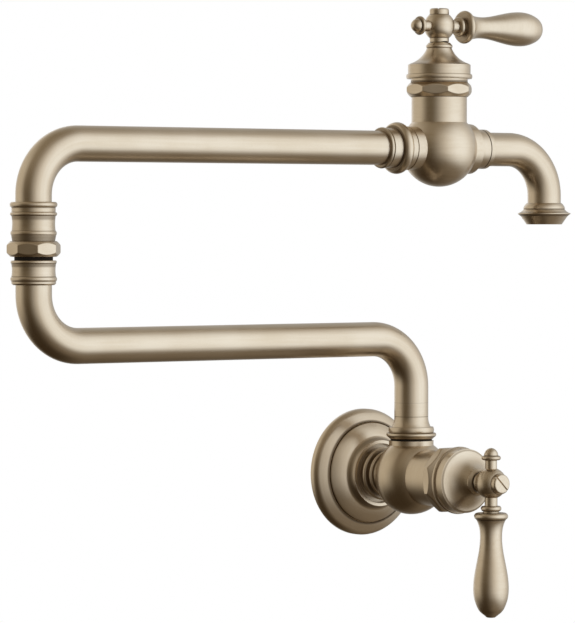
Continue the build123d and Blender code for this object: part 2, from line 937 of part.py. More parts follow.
def spout_collar():
    floor = spout_collar_r - spout_collar_groove
    return lathe(
        (tube_fit_r, spout_boss),
        (floor, spout_boss),
        (floor, spout_boss + spout_collar_groove),
        (spout_collar_r, spout_boss + spout_collar_groove),
        (spout_collar_r, spout_groove_at),
        (floor, spout_groove_at),
        (floor, spout_rim_at),
        (spout_collar_r, spout_rim_at),
        (spout_collar_r, spout_collar_out - edge),
        (spout_collar_r - edge, spout_collar_out),
        (tube_fit_r, spout_collar_out),
    )


# ---- Outlet: the origin is its upper end, on its axis


def outlet_ring():
    # A slanted band, a hollow flare out to a thin lip and a conical nose
    aerator_fit_r = aerator_r + seat_gap
    flare_start = (outlet_band_r - outlet_quirk, flare_z)
    return lathe(
        (tube_fit_r, 0),
        (outlet_root_r, 0),
        bowed((outlet_root_r, 0), (outlet_band_r, flare_z), outlet_band_swell),
        flare_start,
        bowed(flare_start, (outlet_lip_r, lip_z), -outlet_flare_hollow),
        (outlet_lip_r, under_z),
        (outlet_nose_root_r, nose_z),
        (outlet_nose_r, outlet_end),
        (aerator_fit_r, outlet_end),
        (aerator_fit_r, -tube_seat),
        (tube_fit_r, -tube_seat),
    )


def outlet_gasket_ring():
    return pipe(aerator_r, aerator_r - outlet_gasket_width, aerator_top, -tube_seat)


def aerator_housing():
    return pipe(aerator_r, aerator_r - aerator_wall, aerator_top - aerator, aerator_top)


def aerator_screen_disc():
    # A perforated disc with rings of 6, 12 and 18 holes round the middle one
    top = aerator_top - aerator / 2
    body = rod(aerator_r - aerator_wall - seat_gap, top - aerator_screen, top)
    hole = rod(aerator_hole_r, top - aerator_screen - over, top + over)
    for ring in range(1, aerator_rings + 1):
        body -= PolarLocations(ring * aerator_pitch, 6 * ring) * hole
    return body - hole


# ---- Assembly

wall_frame = Rot(90, 0, 0)
riser = Pos(0, -riser_out, 0)
elbow = Pos(-lower_reach, -riser_out, 0)
spout_valve = Pos(spout_valve_x, -riser_out, upper_z)
wall_valve = riser * Rot(90, 0, 0)
arm_end = spout_valve * Rot(0, -90, 0)
spout_start = spout_valve * Rot(0, 90, 0)
outlet = Pos(outlet_x, -riser_out, outlet_z)
wall_lever = wall_valve * Pos(0, 0, wall_neck + hub_z) * Rot(0, 0, -90)
spout_lever = spout_valve * Pos(0, 0, spout_neck + hub_z)

riser_rings = [riser_tube_z - riser_ring_low, riser_tube_z - riser_ring_high]
joint_rings = [high_sleeve_end - joint_ring_low, high_sleeve_end - joint_ring_high]

parts = {
    "wall_flange": wall_frame * wall_flange(),
    "flange_gasket": wall_frame * gasket_ring(),
    "inlet_shank": wall_frame * inlet_shank(),
    "flange_ring_nut": wall_frame * flange_ring_nut(),
    "wall_valve_body": wall_valve * wall_valve_body(),
    "riser_post": riser * riser_post(riser_rings),
    "riser_o_rings": riser * post_o_rings(riser_rings),
    "riser_washer": riser * riser_washer(),
    "riser_collar": riser * riser_collar(),
    "riser_set_screw": riser * riser_set_screw(),
    "riser_ferrule": riser * riser_ferrule(),
    "lower_arm_tube": lower_arm_tube(),
    "lower_joint_sleeve": elbow * lower_joint_sleeve(),
    "joint_post": elbow * joint_post(joint_rings),
    "joint_o_rings": elbow * post_o_rings(joint_rings),
    "joint_bearing_washer": elbow * joint_bearing_washer(),
    "joint_thrust_washer": elbow * joint_thrust_washer(),
    "joint_nut": elbow * joint_nut_ring(),
    "upper_joint_sleeve": elbow * upper_joint_sleeve(),
    "upper_arm_tube": upper_arm_tube(),
    "arm_ferrule": arm_end * arm_ferrule(),
    "arm_union_ring": arm_end * arm_union_ring(),
    "spout_valve_body": spout_valve * spout_valve_body(),
    "spout_collar": spout_start * spout_collar(),
    "spout_tube": spout_tube(),
    "outlet_ring": outlet * outlet_ring(),
    "outlet_gasket": outlet * outlet_gasket_ring(),
    "aerator_housing": outlet * aerator_housing(),
    "aerator_screen": outlet * aerator_screen_disc(),
}

valves = {"wall": (wall_valve, wall_neck, wall_lever), "spout": (spout_valve, spout_neck, spout_lever)}
for name, (valve, neck_end, lever) in valves.items():
    seat = valve * Pos(0, 0, neck_end)
    parts[f"{name}_cartridge_body"] = valve * cartridge_body(neck_end)
    parts[f"{name}_cartridge_o_ring"] = valve * cartridge_o_ring()
    parts[f"{name}_cartridge_seal"] = valve * cartridge_seal()
    parts[f"{name}_fixed_disc"] = valve * fixed_disc()
    parts[f"{name}_turning_disc"] = valve * turning_disc()
    parts[f"{name}_valve_stem"] = valve * valve_stem(neck_end)
    parts[f"{name}_bonnet_nut"] = seat * bonnet_nut()
    parts[f"{name}_trim_ring"] = seat * bonnet_trim_ring()
    parts[f"{name}_bell_bonnet"] = seat * bell_bonnet()
    parts[f"{name}_bell_top_ring"] = seat * bell_top_ring()
    parts[f"{name}_lever_hub"] = lever * lever_hub()
    parts[f"{name}_lever_screw"] = lever * lever_screw()
    parts[f"{name}_lever_ring"] = lever * lever_ring_piece()
    parts[f"{name}_lever_grip"] = lever * lever_grip()
    parts[f"{name}_lever_finial"] = lever * lever_finial()

os.makedirs("parts", exist_ok=True)
for name, shape in parts.items():
    export_step(shape, f"parts/{name}.step")
print(len(parts), "parts")
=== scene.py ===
import math

import bmesh
import bpy
from mathutils import Euler, Matrix, Vector


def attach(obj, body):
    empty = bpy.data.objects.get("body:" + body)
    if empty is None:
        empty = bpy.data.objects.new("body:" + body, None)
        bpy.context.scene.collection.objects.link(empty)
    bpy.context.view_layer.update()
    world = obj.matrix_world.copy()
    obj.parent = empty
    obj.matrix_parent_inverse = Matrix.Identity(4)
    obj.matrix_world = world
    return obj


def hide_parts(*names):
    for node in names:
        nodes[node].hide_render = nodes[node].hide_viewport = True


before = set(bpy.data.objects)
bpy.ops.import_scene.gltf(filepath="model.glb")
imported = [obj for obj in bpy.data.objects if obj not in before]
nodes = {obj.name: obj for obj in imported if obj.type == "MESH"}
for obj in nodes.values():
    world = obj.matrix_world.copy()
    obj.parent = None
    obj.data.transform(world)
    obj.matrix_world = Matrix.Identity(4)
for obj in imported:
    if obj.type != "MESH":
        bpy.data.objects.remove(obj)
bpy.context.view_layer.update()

mm = 0.001
print("frame loaded:", len(nodes), "CAD nodes")

# places on the tap, in metres: the wall is y = 0 and z is up
places = {
    "riser": (0, -46.7 * mm, 0),
    "elbow": (-247.8 * mm, -46.7 * mm, 0),
    "spoutValve": (19.6 * mm, -46.7 * mm, 183.5 * mm),
    "outlet": (96.0 * mm, -46.7 * mm, 153.1 * mm),
    "wallHub": (0, -118.2 * mm, 0),
    "spoutHub": (19.6 * mm, -46.7 * mm, 252.2 * mm),
}
turns = {
    "up": (0, 0, 0),
    "outOfWall": (90, 0, 0),
    "alongArm": (0, -90, 0),
    "alongSpout": (0, 90, 0),
    "down": (180, 0, 0),
}


# nodes, shared by the materials and the geometry trees

class Wire:
    # one socket; sums on it add Math nodes
    def __init__(self, tree, socket):
        self.tree = tree
        self.socket = socket

    def __add__(self, other):
        return self.tree.maths("ADD", self, other)

    def __radd__(self, other):
        return self.tree.maths("ADD", other, self)

    def __sub__(self, other):
        return self.tree.maths("SUBTRACT", self, other)

    def __rsub__(self, other):
        return self.tree.maths("SUBTRACT", other, self)

    def __mul__(self, other):
        return self.tree.maths("MULTIPLY", self, other)

    def __rmul__(self, other):
        return self.tree.maths("MULTIPLY", other, self)

    def __truediv__(self, other):
        return self.tree.maths("DIVIDE", self, other)

    def __pow__(self, other):
        return self.tree.maths("POWER", self, other)

    def __mod__(self, other):
        return self.tree.maths("FLOORED_MODULO", self, other)


class Tree:
    def __init__(self, nodeTree):
        self.nodeTree = nodeTree

    def add(self, kind, settings=None, values=None, out=0):
        node = self.nodeTree.nodes.new(kind)
        for name, value in (settings or {}).items():
            if name == "captures":
                for dataType, label in value:
                    node.capture_items.new(dataType, label)
            else:
                setattr(node, name, value)
        for name, value in (values or {}).items():
            if isinstance(value, Wire):
                self.nodeTree.links.new(value.socket, node.inputs[name])
            else:
                node.inputs[name].default_value = value
        return Wire(self, node.outputs[out]) if node.outputs else node

    def other(self, wire, out):
        # another output of the node that a wire comes from
        return Wire(self, wire.socket.node.outputs[out])

    def maths(self, operation, *terms):
        return self.add("ShaderNodeMath", {"operation": operation}, dict(enumerate(terms)))

    def ease(self, value, start, end, low=0.0, high=1.0):
        # a smooth step from low to high as value goes from start to end
        return self.add(
            "ShaderNodeMapRange",
            {"interpolation_type": "SMOOTHSTEP"},
            {0: value, 1: start, 2: end, 3: low, 4: high},
        )

    def blend(self, factor, first, second):
        # a colour between two colours
        ends = [(*c, 1) if isinstance(c, tuple) else c for c in (first, second)]
        return self.add(
            "ShaderNodeMix", {"data_type": "RGBA"}, {0: factor, 6: ends[0], 7: ends[1]}, out=2
        )

    def vector(self, x, y, z):
        return self.add("ShaderNodeCombineXYZ", None, {0: x, 1: y, 2: z})


# materials

def newPaint(name):
    material = bpy.data.materials.new(name)
    material.use_nodes = True
    material.node_tree.nodes.clear()
    return material, Tree(material.node_tree)


def closePaint(tree, **sockets):
    # the Principled shader and the output; names are the sockets' own, with _ for spaces
    values = {name.replace("_", " "): value for name, value in sockets.items()}
    for name, value in values.items():
        if isinstance(value, tuple) and len(value) == 3:
            values[name] = (*value, 1)
    shader = tree.add("ShaderNodeBsdfPrincipled", None, values)
    tree.add("ShaderNodeOutputMaterial", None, {"Surface": shader})


def noise(tree, vector, scale, detail=2.0, w=None):
    settings = {"noise_dimensions": "3D" if w is None else "4D"}
    values = {"Vector": vector, "Scale": scale, "Detail": detail, "Roughness": 0.5}
    if w is not None:
        values["W"] = w
    return tree.add("ShaderNodeTexNoise", settings, values)


def lathePlace(tree, centre, turn):
    # the point as its turned form sees it: round its axis, out from it and along it
    place = tree.add("ShaderNodeTexCoord", out="Object")
    local = tree.add(
        "ShaderNodeMapping",
        {"vector_type": "TEXTURE"},
        {"Vector": place, "Location": centre, "Rotation": tuple(math.radians(a) for a in turn)},
    )
    split = tree.add("ShaderNodeSeparateXYZ", None, {0: local})
    x, y, along = (tree.other(split, i) for i in range(3))
    out = tree.maths("MAXIMUM", (x * x + y * y) ** 0.5, 1e-6)
    return place, x / out, y / out, out, along


bronzeLook = {
    "colour": (0.675, 0.572, 0.44),
    "deepColour": (0.605, 0.495, 0.36),
    "jointAndShadeColour": (0.13, 0.085, 0.045),
    "toneShares": (0.35, 0.5, 0.15),  # of the streaks, the clouds and the grain
    "toneRange": (0.34, 0.66),
    "roughness": 0.3,
    # colour of the thin dark joint lines and of the painted shade in recesses and under lips and
    # beads
    "roughnessSpread": 0.08,
    "jointAndShadeRoughness": 0.2,
    "jointAndShadeCore": 0.3,  # the share of a dark mark's half width that is fully dark, for joint lines and painted shade alike
    "lines": 3600.0,  # brush lines across a metre
    "bands": 700.0,  # broader streaks across a metre
    "roundCells": 1.6,  # how often a line breaks up round the axis
    "tubeCells": (55.0, 30.0),  # how often lines and streaks break up along a tube, a metre
    "grain": 1500.0,
    "cloud": 34.0,
    "reliefShares": (0.6, 0.2, 0.15),  # of the lines, the streaks and the grain
    "jointAndShadeDepth": 3.0,
    "reliefStrength": 0.6,
    "lineDepth": 0.005 * mm,
    "coat": 0.22,
    "coatRoughness": 0.3,
}


def shared(shares, *wires):
    # the sum of wires, each times its share
    total = shares[0] * wires[0]
    for share, wire in zip(shares[1:], wires[1:]):
        total = total + share * wire
    return total


def bronzeFinish(tree, look, place, fineWay, fineOut, bandWay, bandOut, jointsAndShade=None):
    fine = noise(tree, fineWay, 1.0, detail=1.0, w=fineOut)
    bands = noise(tree, bandWay, 1.0, detail=2.0, w=bandOut)
    grain = noise(tree, place, look["grain"], detail=1.0)
    cloud = noise(tree, place, look["cloud"], detail=3.0)
    tone = tree.ease(shared(look["toneShares"], bands, cloud, grain), *look["toneRange"])
    colour = tree.blend(tone, look["deepColour"], look["colour"])
    rough = look["roughness"] + look["roughnessSpread"] * (0.5 * fine + 0.5 * grain - 0.5)
    height = shared(look["reliefShares"], fine, bands, grain)
    # dark joint lines and painted shade: the colour darkens, and the surface gets rougher and
    # sinks a little
    if jointsAndShade is not None:
        colour = tree.blend(jointsAndShade, colour, look["jointAndShadeColour"])
        rough = rough + look["jointAndShadeRoughness"] * jointsAndShade
        height = height - look["jointAndShadeDepth"] * jointsAndShade
    bump = tree.add(
        "ShaderNodeBump",
        None,
        {"Strength": look["reliefStrength"], "Distance": look["lineDepth"], "Height": height},
    )
    closePaint(
        tree,
        Base_Color=colour,
        Metallic=1.0,
        Roughness=rough,
        Coat_Weight=look["coat"],
        Coat_Roughness=look["coatRoughness"],
        Normal=bump,
    )


def turnedBronze(name, centre, turn, jointsAndShade):
    # brushed round its axis; the dark marks are (place along the axis, half width, strength) in
    # metres: thin dark joint lines, and wider bands of painted shade in recesses and under lips
    # and beads
    look = bronzeLook
    material, tree = newPaint(name)
    place, roundX, roundY, out, along = lathePlace(tree, centre, turn)
    cells = look["roundCells"]
    fineWay = tree.vector(roundX * cells, roundY * cells, along * look["lines"])
    bandWay = tree.vector(roundX * cells, roundY * cells, along * look["bands"])
    dark = None
    for at, half, strength in jointsAndShade:
        away = tree.maths("ABSOLUTE", along - at)
        line = strength * tree.ease(away, half * look["jointAndShadeCore"], half, 1.0, 0.0)
        dark = line if dark is None else tree.maths("MAXIMUM", dark, line)
    bronzeFinish(
        tree, look, place, fineWay, out * look["lines"], bandWay, out * look["bands"], dark
    )
    return material


def tubeBronze(name):
    # brushed lengthwise; the tube's own attribute holds its way round and along
    look = bronzeLook
    material, tree = newPaint(name)
    place = tree.add("ShaderNodeTexCoord", out="Object")
    way = tree.add("ShaderNodeAttribute", {"attribute_name": "brushWay"}, out="Vector")
    split = tree.add("ShaderNodeSeparateXYZ", None, {0: way})
    roundX, roundY, along = (tree.other(split, i) for i in range(3))
    lineCells, bandCells = look["tubeCells"]
    fineWay = tree.vector(roundX * look["lines"], roundY * look["lines"], along * lineCells)
    bandWay = tree.vector(roundX * look["bands"], roundY * look["bands"], along * bandCells)
    bronzeFinish(tree, look, place, fineWay, 0.0, bandWay, 0.0)
    return material


plainPattern = {
    "fineness": 12,  # the speckle's scale against the clouds'
    "cloudRange": (0.35, 0.65),
    "dotRange": (0.62, 0.72),
    "reliefStrength": 0.7,
}


def plainPaint(name, colours, scale, rough, speckle, bumpDepth, **more):
    # two close tones in soft clouds, a finer speckle and a faint relief
    look = plainPattern
    material, tree = newPaint(name)
    place = tree.add("ShaderNodeTexCoord", out="Object")
    cloud = noise(tree, place, scale, detail=4.0)
    fine = noise(tree, place, scale * look["fineness"])
    dots = tree.ease(fine, *look["dotRange"], 0.0, speckle)
    colour = tree.blend(tree.ease(cloud, *look["cloudRange"]), colours[0], colours[1])
    colour = tree.blend(dots, colour, colours[2])
    roughness = rough[0] + rough[1] * fine
    relief = {
        "Strength": look["reliefStrength"],
        "Distance": bumpDepth,
        "Height": cloud + 0.5 * fine,
    }
    bump = tree.add("ShaderNodeBump", None, relief)
    closePaint(tree, Base_Color=colour, Roughness=roughness, Normal=bump, **more)
    return material


rawBrassLook = {
    "colours": ((0.68, 0.5, 0.22), (0.76, 0.59, 0.3), (0.45, 0.31, 0.13)),
    "toolPitch": 0.35 * mm,
    "toolDepth": 0.012 * mm,
    "wobble": 90.0,
    "wobbleShare": 3.0,
    "toneRange": (0.4, 0.6),
    "stain": 120.0,
    "stainRange": (0.58, 0.75),
    "stainStrength": 0.6,
    "reliefStrength": 0.6,
    "roughness": (0.24, 0.22),  # lowest, and the stains' share
}


def machinedBrass(name, centre, turn):
    # bare brass with the fine spiral that the turning tool leaves
    look = rawBrassLook
    material, tree = newPaint(name)
    place, roundX, roundY, out, along = lathePlace(tree, centre, turn)
    cells = look["wobble"]
    wobble = noise(tree, tree.vector(roundX, roundY, along * cells), 1.0, w=out * cells)
    phase = (along + out) * (2 * math.pi / look["toolPitch"]) + look["wobbleShare"] * wobble
    ridges = tree.maths("SINE", phase)
    stain = noise(tree, place, look["stain"], detail=4.0)
    stained = tree.ease(stain, *look["stainRange"], 0.0, look["stainStrength"])
    tone = tree.ease(wobble, *look["toneRange"])
    colour = tree.blend(tone, look["colours"][0], look["colours"][1])
    colour = tree.blend(stained, colour, look["colours"][2])
    relief = {
        "Strength": look["reliefStrength"],
        "Distance": look["toolDepth"],
        "Height": 0.5 + 0.5 * ridges,
    }
    bump = tree.add("ShaderNodeBump", None, relief)
    closePaint(
        tree,
        Base_Color=colour,
        Metallic=1.0,
        Roughness=look["roughness"][0] + look["roughness"][1] * stain,
        Normal=bump,
    )
    return material


wallFrame = ((0, 0, 0), turns["outOfWall"])
wallHubFrame = (places["wallHub"], turns["down"])
riserFrame = (places["riser"], turns["up"])
elbowFrame = (places["elbow"], turns["up"])
valveFrame = (places["spoutValve"], turns["up"])
armFrame = (places["spoutValve"], turns["alongArm"])
spoutFrame = (places["spoutValve"], turns["alongSpout"])
spoutHubFrame = (places["spoutHub"], turns["alongSpout"])
outletFrame = (places["outlet"], turns["up"])

# thin dark lines in the joints, and wider bands of painted shade in the recesses and under lips
# and beads: place along the axis and half width in mm, strength
leverJointLinesAndShade = (
    (12.4, 0.3, 0.5), (15.2, 0.5, 0.6), (16.1, 0.4, 0.5), (19.9, 0.35, 0.7),
    (-12.6, 0.5, 0.6), (-15.1, 0.5, 0.7),
)
jointLinesAndShade = {
    "wallBronze": (wallFrame, (
        (8.55, 0.75, 0.85), (16.2, 1.9, 0.45), (20.0, 0.5, 0.5), (22.9, 0.4, 0.5),
        (24.5, 0.3, 0.4), (26.9, 0.5, 0.6), (78.4, 0.3, 0.7), (87.2, 0.7, 0.7), (91.2, 0.25, 0.5),
        (96.9, 0.35, 0.35), (106.0, 0.3, 0.6), (109.1, 0.6, 0.6), (111.6, 0.5, 0.4),
        (124.8, 0.25, 0.7),
    )),
    "riserBronze": (riserFrame, (
        (20.9, 0.5, 0.9), (22.3, 0.35, 0.6), (24.3, 0.35, 0.6), (27.6, 0.22, 0.3),
        (33.5, 0.22, 0.8), (41.3, 0.22, 0.5),
    )),
    "elbowBronze": (elbowFrame, (
        (109.5, 0.22, 0.6), (111.3, 0.35, 0.35), (113.9, 0.4, 0.5), (120.0, 1.6, 0.55),
        (132.4, 0.3, 0.8), (133.9, 2.4, 0.6), (137.7, 0.4, 0.35), (144.7, 1.9, 0.5),
        (147.6, 0.3, 0.35), (149.8, 0.45, 0.6), (152.9, 0.22, 0.6),
    )),
    "valveBronze": (valveFrame, (
        (28.9, 0.3, 0.7), (37.7, 0.7, 0.7), (41.7, 0.25, 0.5), (47.4, 0.35, 0.35),
        (56.5, 0.3, 0.6), (59.6, 0.6, 0.6), (62.1, 0.5, 0.4), (75.3, 0.25, 0.7),
    )),
    "armBronze": (armFrame, (
        (23.2, 0.22, 0.7), (26.9, 0.45, 0.6), (33.2, 0.5, 0.8), (39.2, 0.35, 0.4),
        (41.5, 0.25, 0.6),
    )),
    "spoutBronze": (spoutFrame, ((21.8, 0.5, 0.8), (29.05, 0.5, 0.8), (32.3, 0.22, 0.6))),
    "outletBronze": (outletFrame, ((0.0, 0.22, 0.6), (-3.4, 0.4, 0.65), (-7.0, 0.8, 0.4))),
    "wallLeverBronze": (wallHubFrame, leverJointLinesAndShade),
    "spoutLeverBronze": (spoutHubFrame, leverJointLinesAndShade),
}
bronzePaints = {
    name: turnedBronze(name, *axis, jointsAndShade=[(at * mm, half * mm, dark) for at, half, dark in rows])
    for name, (axis, rows) in jointLinesAndShade.items()
}
tubePaint = tubeBronze("tubeBronze")

plainLooks = {
    "nitrileRubber": {
        "colours": ((0.022, 0.022, 0.023), (0.04, 0.039, 0.038), (0.09, 0.088, 0.084)),
        "scale": 260.0, "rough": (0.5, 0.2), "speckle": 0.35, "bumpDepth": 0.01 * mm,
    },
    "whiteAcetal": {
        "colours": ((0.82, 0.81, 0.76), (0.88, 0.87, 0.83), (0.74, 0.72, 0.66)),
        "scale": 180.0, "rough": (0.38, 0.16), "speckle": 0.3, "bumpDepth": 0.006 * mm,
        "Subsurface_Weight": 0.08,
    },
    "blackAcetal": {
        "colours": ((0.012, 0.008, 0.005), (0.018, 0.013, 0.009), (0.03, 0.024, 0.018)),
        "scale": 220.0, "rough": (0.55, 0.16), "speckle": 0.3, "bumpDepth": 0.006 * mm,
        "Specular_IOR_Level": 0.08,
    },
    "lappedAlumina": {
        "colours": ((0.9, 0.89, 0.86), (0.94, 0.93, 0.9), (0.8, 0.79, 0.75)),
        "scale": 420.0, "rough": (0.08, 0.1), "speckle": 0.4, "bumpDepth": 0.001 * mm,
    },
    "stainlessSteel": {
        "colours": ((0.56, 0.56, 0.55), (0.66, 0.66, 0.65), (0.42, 0.41, 0.4)),
        "scale": 500.0, "rough": (0.22, 0.18), "speckle": 0.5, "bumpDepth": 0.004 * mm,
        "Metallic": 1.0,
    },
    "blackenedSteel": {
        "colours": ((0.09, 0.08, 0.07), (0.13, 0.12, 0.11), (0.2, 0.19, 0.18)),
        "scale": 500.0, "rough": (0.36, 0.18), "speckle": 0.4, "bumpDepth": 0.004 * mm,
        "Metallic": 1.0,
    },
}
plainPaints = {name: plainPaint(name, **look) for name, look in plainLooks.items()}
print("materials made:", len(bpy.data.materials))


# CAD nodes keep their shape and get their finish

finishes = {
    "wallBronze": ["flange_ring_nut", "wall_valve_body", "wall_trim_ring",
                   "wall_bell_bonnet", "wall_bell_top_ring", "wall_lever_hub"],
    "riserBronze": ["riser_collar", "riser_ferrule"],
    "elbowBronze": ["lower_joint_sleeve", "upper_joint_sleeve"],
    "valveBronze": ["spout_valve_body", "spout_trim_ring", "spout_bell_bonnet",
                    "spout_bell_top_ring", "spout_lever_hub"],
    "armBronze": ["arm_union_ring", "arm_ferrule"],
    "spoutBronze": ["spout_collar"],
    "outletBronze": ["outlet_ring"],
    "wallLeverBronze": ["wall_lever_ring", "wall_lever_grip", "wall_lever_finial"],
    "spoutLeverBronze": ["spout_lever_ring", "spout_lever_grip", "spout_lever_finial"],
}


def paintNodes(paint, names):
    for name in names:
        nodes[name].material_slots[0].material = paint


for label, names in finishes.items():
    paintNodes(bronzePaints[label], names)

brassFrames = {
    "wall": (wallFrame, ["wall_cartridge_body", "wall_valve_stem"]),
    "riser": (riserFrame, ["riser_post"]),
    "elbow": (elbowFrame, ["joint_post"]),
    "valve": (valveFrame, ["spout_cartridge_body", "spout_valve_stem"]),
}
brassPaints = {
    label: machinedBrass(label + "Brass", *axis) for label, (axis, names) in brassFrames.items()
}
for label, (axis, names) in brassFrames.items():
    paintNodes(brassPaints[label], names)

plainFinishes = {
    "nitrileRubber": ["flange_gasket", "riser_o_rings", "joint_o_rings", "wall_cartridge_o_ring",
                      "spout_cartridge_o_ring", "wall_cartridge_seal", "spout_cartridge_seal",
                      "outlet_gasket"],
    "whiteAcetal": ["joint_thrust_washer", "aerator_housing"],
    "blackAcetal": ["riser_washer", "joint_bearing_washer"],
    "lappedAlumina": ["wall_fixed_disc", "wall_turning_disc", "spout_fixed_disc",
                      "spout_turning_disc"],
    "stainlessSteel": ["aerator_screen"],
    "blackenedSteel": ["riser_set_screw"],
}
for label, names in plainFinishes.items():
    paintNodes(plainPaints[label], names)
print("CAD nodes finished")


# helpers for new pieces

# edges that turn by more than this many degrees stay crisp
sharpAngles = {"tube": 40, "screw": 38, "lathe": 32}


def addPiece(name, mesh, body, stands=(), paint=None):
    # a finished piece: its place is in its mesh, and it rides on its body
    piece = bpy.data.objects.new(name, mesh)
    bpy.context.scene.collection.objects.link(piece)
    if paint is not None:
        mesh.materials.clear()
        mesh.materials.append(paint)
    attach(piece, body)
    if stands:
        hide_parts(*stands)


def bakeModifiers(name, work):
    # the evaluated shape of a working object, as a plain mesh
    bpy.context.view_layer.update()
    evaluated = work.evaluated_get(bpy.context.evaluated_depsgraph_get())
    mesh = bpy.data.meshes.new_from_object(evaluated)
    mesh.name = name
    work.modifiers.clear()
    spare = work.data
    bpy.data.objects.remove(work)
    bpy.data.meshes.remove(spare)
    return mesh


def workObject(name, mesh):
    work = bpy.data.objects.new(name + "Work", mesh)
    bpy.context.scene.collection.objects.link(work)
    return work


def standOn(mesh, centre, turn, spin=(0, 0, 0)):
    # puts a mesh made round its own Z where its axis is on the tap
    spun, tilted = (
        Euler([math.radians(a) for a in angles]).to_matrix().to_4x4() for angles in (spin, turn)
    )
    mesh.transform(Matrix.Translation(centre) @ tilted @ spun)
    mesh.update()


def newTree(name, inputs):
    # a geometry tree with named inputs: label, socket type and starting value
    group = bpy.data.node_groups.new(name, "GeometryNodeTree")
    group.interface.new_socket("Geometry", in_out="INPUT", socket_type="NodeSocketGeometry")
    for label, kind, value in inputs:
        socket = group.interface.new_socket(label, in_out="INPUT", socket_type=kind)
        if value is not None:
            socket.default_value = value
    group.interface.new_socket("Geometry", in_out="OUTPUT", socket_type="NodeSocketGeometry")
    tree = Tree(group)
    first = tree.add("NodeGroupInput")
    outputs = first.socket.node.outputs
    wires = {socket.name: Wire(tree, socket) for socket in outputs if socket.name}
    return group, tree, wires


def closeTree(tree, geometry, paint):
    real = tree.add("GeometryNodeRealizeInstances", None, {"Geometry": geometry})
    painted = tree.add("GeometryNodeSetMaterial", None, {"Geometry": real, "Material": paint})
    tree.add("NodeGroupOutput", None, {"Geometry": painted})


def growWith(work, group, values):
    # puts a tree on a working object, with its inputs set before it is first evaluated
    modifier = work.modifiers.new(group.name, "NODES")
    modifier.node_group = group
    for item in group.interface.items_tree:
        if item.in_out == "INPUT" and item.name in values:
            modifier[item.identifier] = values[item.name]


# the three bent tubes

tubeSizes = {
    "radius": 9.525 * mm,
    "wall": 1.5 * mm,
    "roundSteps": 96,
    "bendSteps": 28,
}
tubeRuns = {
    "lowerArmTube": {
        "node": "lower_arm_tube",
        "body": "lower_arm",
        "bend": 27.0 * mm,
        "corners": ((0, 41.3), (0, 77.2), (-247.8, 77.2), (-247.8, 113.0)),
    },
    "upperArmTube": {
        "node": "upper_arm_tube",
        "body": "upper_arm",
        "bend": 27.0 * mm,
        "corners": ((-247.8, 149.3), (-247.8, 183.5), (1.4, 183.5)),
    },
    "spoutTube": {
        "node": "spout_tube",
        "body": "upper_arm",
        "bend": 26.3 * mm,
        "corners": ((36.2, 183.5), (96.0, 183.5), (96.0, 148.1)),
    },
}


def bentTubeTree():
    group, tree, wires = newTree(
        "bentTube",
        (
            ("Tube Radius", "NodeSocketFloat", 0.009),
            ("Bend Radius", "NodeSocketFloat", 0.027),
            ("Bend Steps", "NodeSocketInt", 24),
            ("Round Steps", "NodeSocketInt", 64),
            ("Paint", "NodeSocketMaterial", None),
        ),
    )
    line = tree.add("GeometryNodeMeshToCurve", None, {"Mesh": wires["Geometry"]})
    bent = tree.add(
        "GeometryNodeFilletCurve",
        {"mode": "POLY"},
        {"Curve": line, "Count": wires["Bend Steps"], "Radius": wires["Bend Radius"]},
    )
    length = tree.add("GeometryNodeSplineParameter", out="Length")
    path = tree.add(
        "GeometryNodeCaptureAttribute",
        {"captures": (("FLOAT", "Length"),)},
        {0: bent, 1: length},
    )
    ring = tree.add(
        "GeometryNodeCurvePrimitiveCircle",
        None,
        {"Resolution": wires["Round Steps"], "Radius": wires["Tube Radius"]},
    )
    profile = tree.add(
        "GeometryNodeCaptureAttribute",
        {"captures": (("VECTOR", "Round"),)},
        {0: ring, 1: tree.add("GeometryNodeInputPosition")},
    )
    skin = tree.add(
        "GeometryNodeCurveToMesh", None, {"Curve": path, "Profile Curve": profile}
    )
    split = tree.add("ShaderNodeSeparateXYZ", None, {0: tree.other(profile, 1)})
    way = tree.vector(split, tree.other(split, 1), tree.other(path, 1))
    marked = tree.add(
        "GeometryNodeStoreNamedAttribute",
        {"data_type": "FLOAT_VECTOR", "domain": "POINT"},
        {"Geometry": skin, "Name": "brushWay", "Value": way},
    )
    smooth = tree.add("GeometryNodeSetShadeSmooth", None, {"Geometry": marked})
    closeTree(tree, smooth, wires["Paint"])
    return group


tubeTree = bentTubeTree()
for name, run in tubeRuns.items():
    line = bpy.data.meshes.new(name)
    points = [(x * mm, places["riser"][1], z * mm) for x, z in run["corners"]]
    line.from_pydata(points, [(i, i + 1) for i in range(len(points) - 1)], [])
    work = workObject(name, line)
    growWith(
        work,
        tubeTree,
        {
            "Tube Radius": tubeSizes["radius"],
            "Bend Radius": run["bend"],
            "Bend Steps": tubeSizes["bendSteps"],
            "Round Steps": tubeSizes["roundSteps"],
            "Paint": tubePaint,
        },
    )
    wall = work.modifiers.new("wall", "SOLIDIFY")
    wall.thickness = tubeSizes["wall"]
    wall.offset = -1
    wall.use_rim = True
    mesh = bakeModifiers(name, work)
    mesh.set_sharp_from_angle(angle=math.radians(sharpAngles["tube"]))
    addPiece(name, mesh, run["body"], [run["node"]])
    print("tube made:", name, len(mesh.polygons), "faces")


# the octagonal nuts

